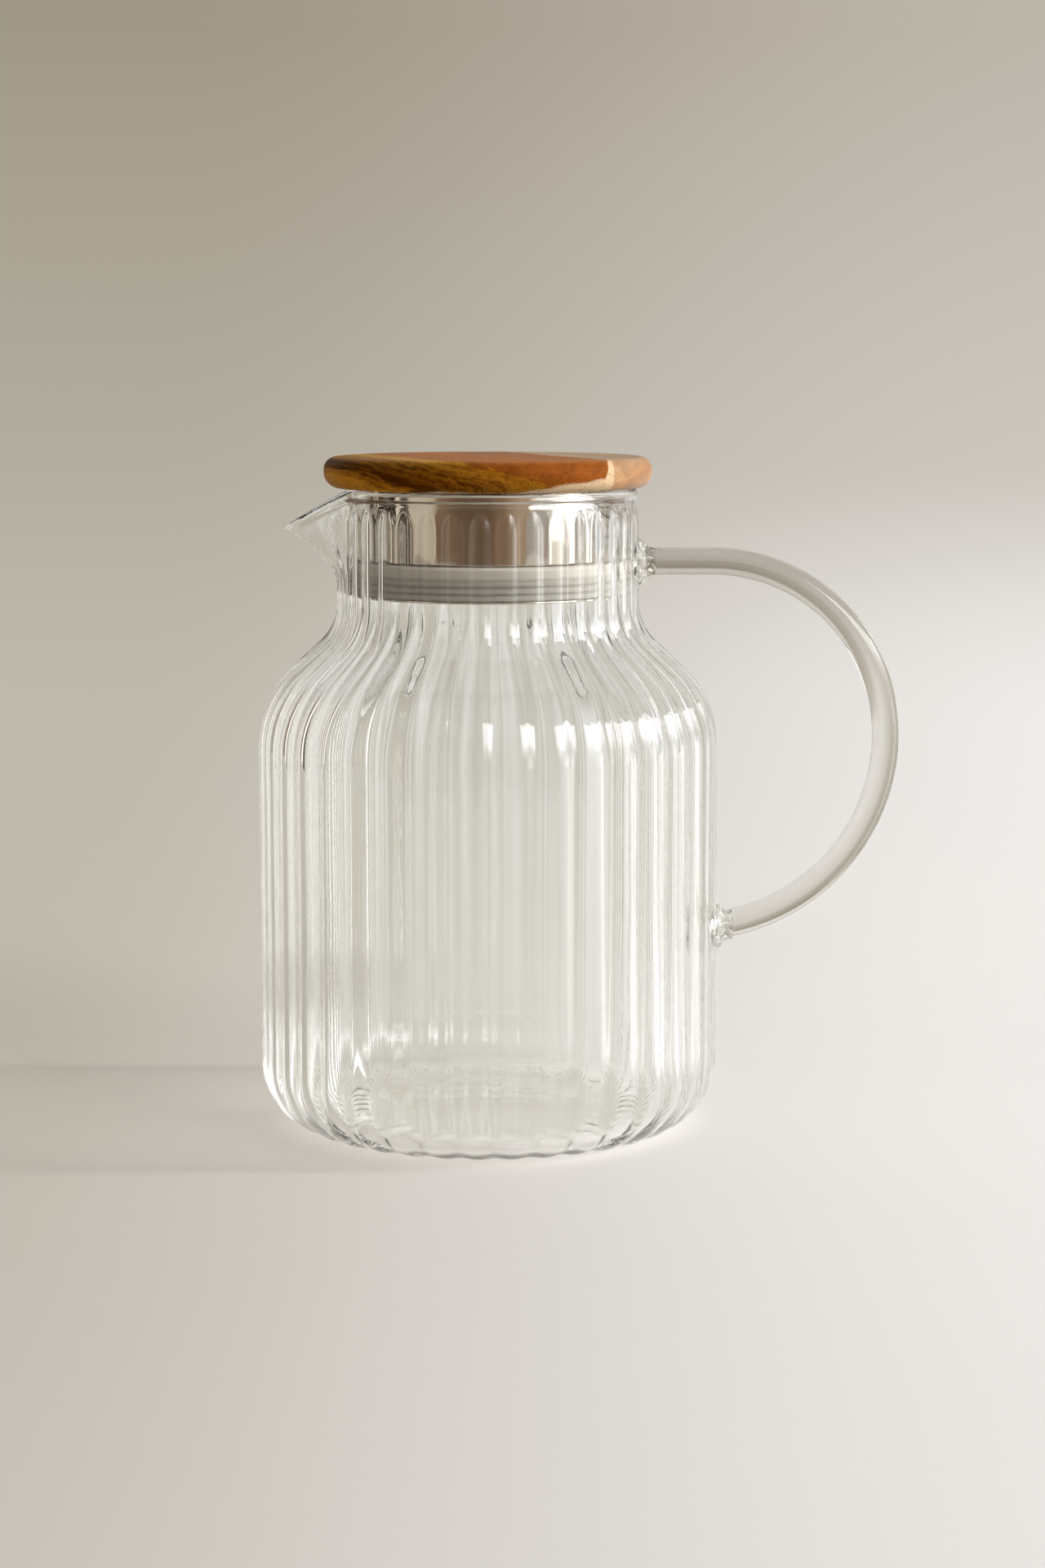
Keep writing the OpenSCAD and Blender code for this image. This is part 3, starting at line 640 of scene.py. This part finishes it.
# Strainer sleeve: a drawn cup, closed under the wood, with a stepped-in seat and a bottom lip
def cup_outline():
    """The cup in section: down its inside, round the lip and up its outside."""
    t = sheet_t
    line = softened([
        (0, lid_z - t), (sleeve_r - t, lid_z - t), (sleeve_r - t, step_z + t), (seat_r - t, step_z + t),
        (seat_r - t, lip_z - t), (seat_r + lip_reach, lip_z - t), (seat_r + lip_reach, lip_z),
        (seat_r, lip_z), (seat_r, step_z), (sleeve_r, step_z), (sleeve_r, lid_z), (0, lid_z)], 0.5)
    return [(r, z, 0, 0, 0) for r, z in line]


def perforated_tree():
    """Turns an outline and drills staggered rows of holes through it, centred on the handle's side."""
    tree, given = new_tree("perforated sleeve", [
        "Number of Steps", "Number of Rows", "Number of Columns", "Hole Radius", "Hole Turn", "Row Gap",
        "Middle Height", "Wall Radius", "Drill Length"])
    sheet, at = turn_outline(tree, given, [])
    points = put(tree, "GeometryNodeMeshGrid", {
        "Vertices X": given["Number of Rows"], "Vertices Y": given["Number of Columns"]})
    at["index"] = put(tree, "GeometryNodeInputIndex").outputs[0]
    # The cup's steps are turned by half of one, so that no hole's edge runs exactly along a seam
    for name, operation, *terms in [
            ("turned", "ADD", "step", 0.5),
            ("steps", "DIVIDE", "turned", "Number of Steps"),
            ("angle", "MULTIPLY", "steps", math.tau),
            ("rows", "DIVIDE", "index", "Number of Columns"),
            ("row", "FLOOR", "rows"),
            ("column", "MODULO", "index", "Number of Columns"),
            ("odd", "MODULO", "row", 2.0),
            ("half", "MULTIPLY", "odd", 0.5),
            ("last", "SUBTRACT", "Number of Columns", 1.0),
            ("middle", "DIVIDE", "last", 2.0),
            ("across", "SUBTRACT", "column", "middle"),
            ("place", "ADD", "across", "half"),
            ("turn", "MULTIPLY", "place", "Hole Turn"),
            ("cos", "COSINE", "turn"),
            ("sin", "SINE", "turn"),
            ("x", "MULTIPLY", "cos", "Wall Radius"),
            ("y", "MULTIPLY", "sin", "Wall Radius"),
            ("last_row", "SUBTRACT", "Number of Rows", 1.0),
            ("mid_row", "DIVIDE", "last_row", 2.0),
            ("above", "SUBTRACT", "row", "mid_row"),
            ("rise", "MULTIPLY", "above", "Row Gap"),
            ("z", "ADD", "rise", "Middle Height"),
            ("spare", "ADD", "column", "odd"),
            ("beyond", "GREATER_THAN", "spare", "last")]:
        at[name] = put(tree, "ShaderNodeMath", [at.get(t, t) if isinstance(t, str) else t for t in terms],
                       operation=operation).outputs[0]
    cup = lay_sheet(tree, sheet, at["angle"], at["radius"], at["height"])
    out = put(tree, "ShaderNodeCombineXYZ", [at["cos"], at["sin"], 0.0])
    hole_at = put(tree, "ShaderNodeCombineXYZ", [at["x"], at["y"], at["z"]])
    placed = put(tree, "GeometryNodeSetPosition", {"Geometry": points.outputs["Mesh"], "Position": hole_at})
    facing = put(tree, "FunctionNodeAlignRotationToVector", {"Vector": out}, axis="Z")
    drill = put(tree, "GeometryNodeMeshCylinder", {
        "Vertices": hole_steps, "Radius": given["Hole Radius"], "Depth": given["Drill Length"]})
    drills = put(tree, "GeometryNodeInstanceOnPoints", {
        "Points": placed, "Instance": drill.outputs["Mesh"], "Rotation": facing})
    kept = put(tree, "GeometryNodeDeleteGeometry", {"Geometry": drills, "Selection": at["beyond"]},
               domain="INSTANCE")
    real = put(tree, "GeometryNodeRealizeInstances", [kept])
    cut = put(tree, "GeometryNodeMeshBoolean", {"Mesh 1": cup, "Mesh 2": real},
              operation="DIFFERENCE", solver="EXACT")
    close_tree(tree, cut.outputs["Mesh"], given, 35)
    return tree


sleeve = shaped("strainer_sleeve", outline_mesh("cup outline", cup_outline()), perforated_tree(), {
    "Number of Steps": sleeve_steps, "Number of Rows": hole_rows, "Number of Columns": hole_cols,
    "Hole Radius": hole_d / 2 * MM, "Hole Turn": hole_pitch / sleeve_r,
    "Row Gap": hole_pitch * math.sin(math.pi / 3) * MM, "Middle Height": (lid_z - hole_drop) * MM,
    "Wall Radius": (sleeve_r - sheet_t / 2) * MM, "Drill Length": drill_len * MM}, drawn_steel)
belongs(sleeve, "strainer_collar", "lid")


# Gasket: a soft band with a plain top lip and three ribs. Scattered light fills the real grooves, so they
# are shallow here.
def gasket_outline():
    """The band in section: its foot, the side with the ribs, the top lip and down the bore."""
    lip_root = lip_z + gasket_h - top_lip_h
    line = [(gasket_bore_r, lip_z, 0, 0, 0), (gasket_core_r, lip_z, 0, 0, 0)]
    line += [(gasket_core_r, z, 0, 1, 0) for z in between(lip_z, lip_root, 16 * ribs)[1:]]
    lip = softened([(gasket_core_r, lip_root), (gasket_r, lip_root + 0.5), (gasket_r, lip_z + gasket_h - 0.5),
                    (gasket_r - 0.6, lip_z + gasket_h), (gasket_bore_r, lip_z + gasket_h)], 0.45)
    return line + [(r, z, 0, 0, 0) for r, z in lip] + [line[0]]


def ribbed_tree():
    """Turns an outline and lifts ribs out of it, one after another up its height."""
    tree, given = new_tree("ribbed band", ["Number of Steps", "Rib Foot", "Rib Pitch", "Rib Height"])
    sheet, at = turn_outline(tree, given, ["groove"])
    for name, operation, *terms in [
            ("steps", "DIVIDE", "step", "Number of Steps"),
            ("angle", "MULTIPLY", "steps", math.tau),
            ("up", "SUBTRACT", "height", "Rib Foot"),
            ("count", "DIVIDE", "up", "Rib Pitch"),
            ("phase", "FRACT", "count"),
            ("aside", "SUBTRACT", "phase", rib_middle),
            ("away", "ABSOLUTE", "aside")]:
        at[name] = put(tree, "ShaderNodeMath", [at.get(t, t) if isinstance(t, str) else t for t in terms],
                       operation=operation).outputs[0]
    rib = put(tree, "ShaderNodeMapRange", [at["away"], rib_foot, rib_crown, 0.0, 1.0],
              interpolation_type="SMOOTHSTEP")
    lift = put(tree, "ShaderNodeMath", [rib, given["Rib Height"]], operation="MULTIPLY")
    there = put(tree, "ShaderNodeMath", [lift, at["groove"]], operation="MULTIPLY")
    radius = put(tree, "ShaderNodeMath", [at["radius"], there], operation="ADD")
    close_tree(tree, lay_sheet(tree, sheet, at["angle"], radius, at["height"]), given, 50)
    return tree


band = shaped("silicone_gasket", outline_mesh("gasket outline", gasket_outline()), ribbed_tree(), {
    "Number of Steps": gasket_steps, "Rib Foot": lip_z * MM,
    "Rib Pitch": (gasket_h - top_lip_h) / ribs * MM,
    "Rib Height": (gasket_r - gasket_core_r) * MM}, soft_silicone)
belongs(band, "gasket", "seal")


# Screws: pan heads with a cross slot, under the steel
def screw_outline():
    """A screw in section, from the middle of its head to its point. The head's seat is at 0."""
    tip = screw_len - screw_r
    line = softened([(0, -head_h), (head_r - 0.2, -head_h), (head_r, 0), (screw_r, 0), (screw_r, tip),
                     (0.15, screw_len), (0, screw_len)], 0.9)
    return [(r, z, 0, 0, 0) for r, z in line]


def screw_tree():
    """Turns a screw, cuts its cross slot and sets copies round a ring."""
    tree, given = new_tree("ring of screws", [
        "Number of Steps", "Number of Screws", "Ring Radius", "Ring Turn", "Seat Height", "Slot Length",
        "Slot Width", "Slot Depth", "Head Height"])
    sheet, at = turn_outline(tree, given, [])
    # Its steps are turned by half of one too, so that no slot's corner lies on a seam
    turned = put(tree, "ShaderNodeMath", [at["step"], 0.5], operation="ADD")
    part = put(tree, "ShaderNodeMath", [turned, given["Number of Steps"]], operation="DIVIDE")
    angle = put(tree, "ShaderNodeMath", [part, math.tau], operation="MULTIPLY")
    screw = lay_sheet(tree, sheet, angle, at["radius"], at["height"])
    low = put(tree, "ShaderNodeMath", [given["Head Height"], -1.0], operation="MULTIPLY")
    low_at = put(tree, "ShaderNodeCombineXYZ", [0.0, 0.0, low])
    slots = []
    for x, y in (("Slot Length", "Slot Width"), ("Slot Width", "Slot Length")):
        size = put(tree, "ShaderNodeCombineXYZ", [given[x], given[y], given["Slot Depth"]])
        cube = put(tree, "GeometryNodeMeshCube", {"Size": size}).outputs["Mesh"]
        slots.append(put(tree, "GeometryNodeTransform", {"Geometry": cube, "Translation": low_at}))
    cut = put(tree, "GeometryNodeMeshBoolean", {"Mesh 1": screw, "Mesh 2": tuple(slots)},
              operation="DIFFERENCE", solver="EXACT")
    ring = put(tree, "GeometryNodeMeshCircle", {
        "Vertices": given["Number of Screws"], "Radius": given["Ring Radius"]})
    turn = put(tree, "ShaderNodeCombineXYZ", [0.0, 0.0, given["Ring Turn"]])
    seat = put(tree, "ShaderNodeCombineXYZ", [0.0, 0.0, given["Seat Height"]])
    set_ring = put(tree, "GeometryNodeTransform", {"Geometry": ring, "Translation": seat, "Rotation": turn})
    copies = put(tree, "GeometryNodeInstanceOnPoints", {"Points": set_ring, "Instance": cut.outputs["Mesh"]})
    real = put(tree, "GeometryNodeRealizeInstances", [copies])
    close_tree(tree, real, given, 35)
    return tree


screws = shaped("collar_screws", outline_mesh("screw outline", screw_outline()), screw_tree(), {
    "Number of Steps": screw_steps, "Number of Screws": screw_count, "Ring Radius": screw_ring_r * MM,
    "Ring Turn": glue_turn, "Seat Height": (lid_z - sheet_t) * MM, "Slot Length": slot_len * MM,
    "Slot Width": slot_w * MM, "Slot Depth": slot_depth * MM, "Head Height": head_h * MM}, screw_steel)
belongs(screws, "lid_screws", "lid")


# Lid: one turned disc, sawn along the glue line into two staves
def stave(name, side, material):
    """The part of the turned disc on one side of the glue line."""
    shape = bmesh.new()
    line = [(0, 0)]
    line += [(lid_r - lid_bottom_round * (1 - math.cos(a)), lid_bottom_round * (1 + math.sin(a)))
             for a in between(-math.pi / 2, 0, 14) + [0]]
    line += [(lid_r - lid_top_round * (1 - math.cos(a)), lid_t - lid_top_round * (1 - math.sin(a)))
             for a in between(0, math.pi / 2, 12) + [math.pi / 2]]
    line += [(0, lid_t)]
    made = [shape.verts.new((r * MM, 0, (lid_z + z) * MM)) for r, z in line]
    edges = [shape.edges.new(pair) for pair in zip(made, made[1:])]
    bmesh.ops.spin(shape, geom=made + edges, cent=(0, 0, 0), axis=(0, 0, 1), angle=math.tau,
                   steps=lid_steps)
    bmesh.ops.remove_doubles(shape, verts=shape.verts, dist=0.01 * MM)
    away = Vector((math.cos(glue_turn), math.sin(glue_turn), 0))
    bmesh.ops.bisect_plane(shape, geom=shape.verts[:] + shape.edges[:] + shape.faces[:], dist=0.001 * MM,
                           plane_co=away * glue_offset * MM, plane_no=away * side, clear_outer=True)
    rim = [e for e in shape.edges if e.is_boundary]
    bmesh.ops.edgeloop_fill(shape, edges=rim)
    bmesh.ops.recalc_face_normals(shape, faces=shape.faces)
    for face in shape.faces:
        face.smooth = True
    for edge in shape.edges:
        edge.smooth = edge.calc_face_angle(0) < math.radians(35)
    mesh = bpy.data.meshes.new(name)
    shape.to_mesh(mesh)
    shape.free()
    mesh.materials.append(material)
    piece = bpy.data.objects.new(name, mesh)
    scene.collection.objects.link(piece)
    return piece


belongs(stave("wide_stave", 1, wide_wood), "lid_stave_wide", "lid")
belongs(stave("narrow_stave", -1, narrow_wood), "lid_stave_narrow", "lid")


def window_strip(tree, way):
    """The turn to the right from the camera's side, and 1 within the narrow strip below the window."""
    front = put(tree, "ShaderNodeMath", [way.outputs["Y"], -1.0], operation="MULTIPLY")
    turn = put(tree, "ShaderNodeMath", [way.outputs["X"], front], operation="ARCTAN2")
    after = put(tree, "ShaderNodeMapRange", [turn, math.radians(53), math.radians(84), 0.0, 1.0])
    before = put(tree, "ShaderNodeMapRange", [turn, math.radians(96), math.radians(88), 0.0, 1.0])
    return turn, put(tree, "ShaderNodeMath", [after, before], operation="MULTIPLY")


# Floor and backdrop: one pale sheet that sweeps up behind the pitcher, painted darker to the left and at the
# top as painted light and shade
def paper():
    """Matt paper with the window's light and shade painted into its colour, shown plain where rays meet it
    far behind the pitcher.
    """
    material, tree, place = surface("matt studio paper")
    at = put(tree, "ShaderNodeSeparateXYZ", [place])
    # Painted light: the window's light on the right side and the shade to the left are painted into the
    # colour, and the step from light to dim widens with the distance
    depth = put(tree, "ShaderNodeMapRange", [at.outputs["Y"], 0.0, 1.3, 0.0, 1.0])
    middle = put(tree, "ShaderNodeMath", [depth, 0.1], operation="MULTIPLY")
    wide = put(tree, "ShaderNodeMapRange", [depth, 0.0, 1.0, 0.185, 0.35])
    off = put(tree, "ShaderNodeMath", [at.outputs["X"], middle], operation="SUBTRACT")
    step = put(tree, "ShaderNodeMath", [off, wide], operation="DIVIDE")
    side = put(tree, "ShaderNodeMapRange", [step, -1.0, 1.0, 0.0, 1.0], interpolation_type="SMOOTHSTEP")
    low = put(tree, "ShaderNodeMix", {0: side, 6: linear("#C0BAAE"), 7: linear("#F0EDEA")}, data_type="RGBA")
    high = put(tree, "ShaderNodeMix", {0: side, 6: linear("#A19988"), 7: linear("#BEB6AB")}, data_type="RGBA")
    # Painted shade: the sheet grows darker upwards, with a sharper knee near the floor at the right
    shade_knee = put(tree, "ShaderNodeMapRange", [at.outputs["Z"], 0.0, 0.15, 0.0, 1.0],
               interpolation_type="SMOOTHSTEP")
    rise = put(tree, "ShaderNodeMapRange", [at.outputs["Z"], 0.0, 0.45, 0.0, 1.0])
    bent = put(tree, "ShaderNodeMapRange", [side, 0.0, 1.0, 0.15, 0.6])
    up = put(tree, "ShaderNodeMix", {"Factor": bent, "A": rise, "B": shade_knee}, data_type="FLOAT")
    both = put(tree, "ShaderNodeMix", {0: up.outputs[0], 6: low.outputs[2], 7: high.outputs[2]},
               data_type="RGBA")
    # High above the pitcher it is painted bright again, as painted light that shows in the rims of the glass
    over = put(tree, "ShaderNodeMapRange", [at.outputs["Z"], 0.55, 0.75, 0.0, 1.0],
               interpolation_type="SMOOTHSTEP")
    both = put(tree, "ShaderNodeMix", {0: over, 6: both.outputs[2], 7: linear("#F0EDE8")}, data_type="RGBA")
    tooth = put(tree, "ShaderNodeTexNoise", {"Vector": place, "Scale": 1 / (1.2 * MM), "Detail": 2.0})
    normal = put(tree, "ShaderNodeBump", {"Height": tooth, "Distance": 0.05 * MM, "Strength": 0.3})
    near = put(tree, "ShaderNodeBsdfDiffuse", {"Color": both.outputs[2], "Normal": normal})
    # Painted light: the paper glows faintly under the foot, for the light that the glass gathers there
    from_axis = put(tree, "ShaderNodeVectorMath", [place], operation="LENGTH").outputs["Value"]
    painted_caustic_glow = put(tree, "ShaderNodeMapRange", [from_axis, 66 * MM, 50 * MM, 0.0, 0.2],
                   interpolation_type="SMOOTHSTEP")
    painted_glow_under_foot = put(tree, "ShaderNodeEmission", [both.outputs[2], painted_caustic_glow])
    near = put(tree, "ShaderNodeAddShader", [near, painted_glow_under_foot])
    # Far behind the pitcher the camera, the metal and the glass see the paper's plain colour
    ray = put(tree, "ShaderNodeLightPath")
    seen = ray.outputs["Is Camera Ray"]
    for kind in ("Is Glossy Ray", "Is Transmission Ray"):
        seen = put(tree, "ShaderNodeMath", [seen, ray.outputs[kind]], operation="MAXIMUM")
    far = put(tree, "ShaderNodeMapRange", [at.outputs["Y"], 0.2, 0.7, 0.0, 1.0],
              interpolation_type="SMOOTHSTEP")
    far_seen = put(tree, "ShaderNodeMath", [far, seen], operation="MULTIPLY")
    # Painted light: reflections also show the sunlit strip of floor that leads to the window, glowing 5.4
    # times as bright
    strip = window_strip(tree, at)[1]
    outside = put(tree, "ShaderNodeMapRange", [at.outputs["X"], 0.12, 0.16, 0.0, 1.0])
    for part in (ray.outputs["Is Glossy Ray"], outside):
        strip = put(tree, "ShaderNodeMath", [strip, part], operation="MULTIPLY")
    painted_strip_glow = put(tree, "ShaderNodeMapRange", [strip, 0.0, 1.0, 1.0, 5.4])
    plain = put(tree, "ShaderNodeEmission", [both.outputs[2], painted_strip_glow])
    share = put(tree, "ShaderNodeMath", [far_seen, strip], operation="MAXIMUM")
    put(tree, "ShaderNodeOutputMaterial", [put(tree, "ShaderNodeMixShader", [share, near, plain])])
    return material


# It lies a hair below the foot, which would else share its plane
low, bend_y, bend_r, paper_h = -0.1 * MM, 0.9, 0.6, 1.6
line = [(y, low) for y in (-0.8, -0.5, -0.2, 0.1, 0.4, bend_y)]
line += [(bend_y + bend_r * math.sin(a), low + bend_r * (1 - math.cos(a)))
         for a in between(0, math.pi / 2, 24)[1:]]
line += [(bend_y + bend_r, bend_r), (bend_y + bend_r, paper_h)]
columns = [-0.9 + 0.1 * i for i in range(34)]
wide = len(columns)
corners = [j * wide + i for j in range(len(line) - 1) for i in range(wide - 1)]
sweep = bpy.data.meshes.new("paper sweep")
sweep.from_pydata([(x, y, z) for y, z in line for x in columns], [],
                  [(at, at + 1, at + 1 + wide, at + wide) for at in corners])
for face in sweep.polygons:
    face.use_smooth = True
sweep.materials.append(paper())
floor = bpy.data.objects.new("paper_sweep", sweep)
scene.collection.objects.link(floor)

# Light: low sun through the window at the right, which draws the straight shadow
sun = bpy.data.lights.new("low_sun", "SUN")
sun.energy = 2.45
sun.angle = math.radians(4)
sun.color = linear("#FFFDFA")[:3]
lamp = bpy.data.objects.new("low_sun", sun)
scene.collection.objects.link(lamp)
sun_height = math.radians(23)
shines = Vector((-math.cos(sun_height), 0, -math.sin(sun_height)))
lamp.rotation_euler = shines.to_track_quat("-Z", "Y").to_euler()
lamp.visible_glossy = False
lamp.visible_transmission = False

# The room round the pitcher: the bright window at the right, pale curtains with dark gaps at the left,
# and brown furniture behind the camera, which the steel shows
room = bpy.data.worlds.new("room")
scene.world = room
room.use_nodes = True
tree = room.node_tree
tree.nodes.clear()
room_light, pane_light, pane_fade, strip_light = 1.45, 8.5, 2.4, 5.0
way = put(tree, "ShaderNodeSeparateXYZ", [put(tree, "ShaderNodeTexCoord").outputs["Generated"]])
turn, strip = window_strip(tree, way)
height = put(tree, "ShaderNodeMath", [way.outputs["Z"]], operation="ARCSINE")
whole = put(tree, "ShaderNodeMapRange", [turn, -math.pi, math.pi, 0.0, 1.0])
walls = put(tree, "ShaderNodeValToRGB", [whole])
pale, curtain, shaded, gap = "#A3A09B", "#F0E8DC", "#C8BFB2", "#2C221A"
brown, dark, tan, bright = "#86705D", "#655242", "#AA9884", "#AAA9A8"
# What stands at each turn, in degrees to the right from the camera's side
set_stops(walls, [((degrees + 180) / 360, shade) for degrees, shade in [
    (-180, pale), (-134, pale), (-129, brown), (-122, gap), (-119, curtain), (-113, curtain), (-110, gap),
    (-89, gap), (-87, curtain), (-84, curtain), (-82, gap), (-75, gap), (-72, shaded), (-49, shaded),
    (-44, brown), (-26, dark), (0, dark), (16, brown), (26, tan), (36, tan), (46, bright), (110, bright),
    (125, pale), (180, pale)]])
above = put(tree, "ShaderNodeMapRange", [height, math.radians(18), math.radians(42), 0.0, 1.0],
            interpolation_type="SMOOTHSTEP")
# What the glass bends into view from above is the pale ceiling
through = put(tree, "ShaderNodeLightPath").outputs["Is Transmission Ray"]
ceiling = put(tree, "ShaderNodeMix", {0: through, 6: linear("#7A7D80"), 7: linear("#B8B5AF")},
              data_type="RGBA")
walls_up = put(tree, "ShaderNodeMix", {0: above, 6: walls, 7: ceiling.outputs[2]}, data_type="RGBA")
air = put(tree, "ShaderNodeBackground", [walls_up.outputs[2], room_light])
# The window's top edge is sharp and falls away from the camera. The pane fades downwards, into the strip.
left = put(tree, "ShaderNodeMapRange", [turn, math.radians(36), math.radians(42), 0.0, 1.0])
right = put(tree, "ShaderNodeMapRange", [turn, math.radians(108), math.radians(104), 0.0, 1.0])
edge = put(tree, "ShaderNodeMapRange", [turn] + [math.radians(d) for d in (26, 108, 43, 22.5)])
above_edge = put(tree, "ShaderNodeMath", [height, edge], operation="SUBTRACT")
top = put(tree, "ShaderNodeMapRange", [above_edge, math.radians(0.4), math.radians(-0.4), 0.0, 1.0])
foot = put(tree, "ShaderNodeMapRange", [height, math.radians(-3), math.radians(20), 0.0, 1.0])
foot = put(tree, "ShaderNodeMath", [foot, pane_fade], operation="POWER")
pane = left
for part in (right, top, foot, pane_light):
    pane = put(tree, "ShaderNodeMath", [pane, part], operation="MULTIPLY")
under = put(tree, "ShaderNodeMapRange", [height, math.radians(9), math.radians(1), 0.0, strip_light])
strip = put(tree, "ShaderNodeMath", [strip, under], operation="MULTIPLY")
bright_sky = put(tree, "ShaderNodeMath", [pane, strip], operation="ADD")
window = put(tree, "ShaderNodeBackground", [linear("#FBFCFF"), bright_sky])
around = put(tree, "ShaderNodeAddShader", [air, window])
# The camera itself sees plain air of the paper's colours beyond the paper
across = put(tree, "ShaderNodeMapRange", [way.outputs["X"], -0.5, 0.5, 0.0, 1.0],
             interpolation_type="SMOOTHSTEP")
plain = put(tree, "ShaderNodeMix", {0: across, 6: linear("#C0BAAE"), 7: linear("#E6E2DE")},
            data_type="RGBA")
beyond = put(tree, "ShaderNodeBackground", [plain.outputs[2], 1.0])
camera_ray = put(tree, "ShaderNodeLightPath").outputs["Is Camera Ray"]
put(tree, "ShaderNodeOutputWorld", [put(tree, "ShaderNodeMixShader", [camera_ray, around, beyond])])
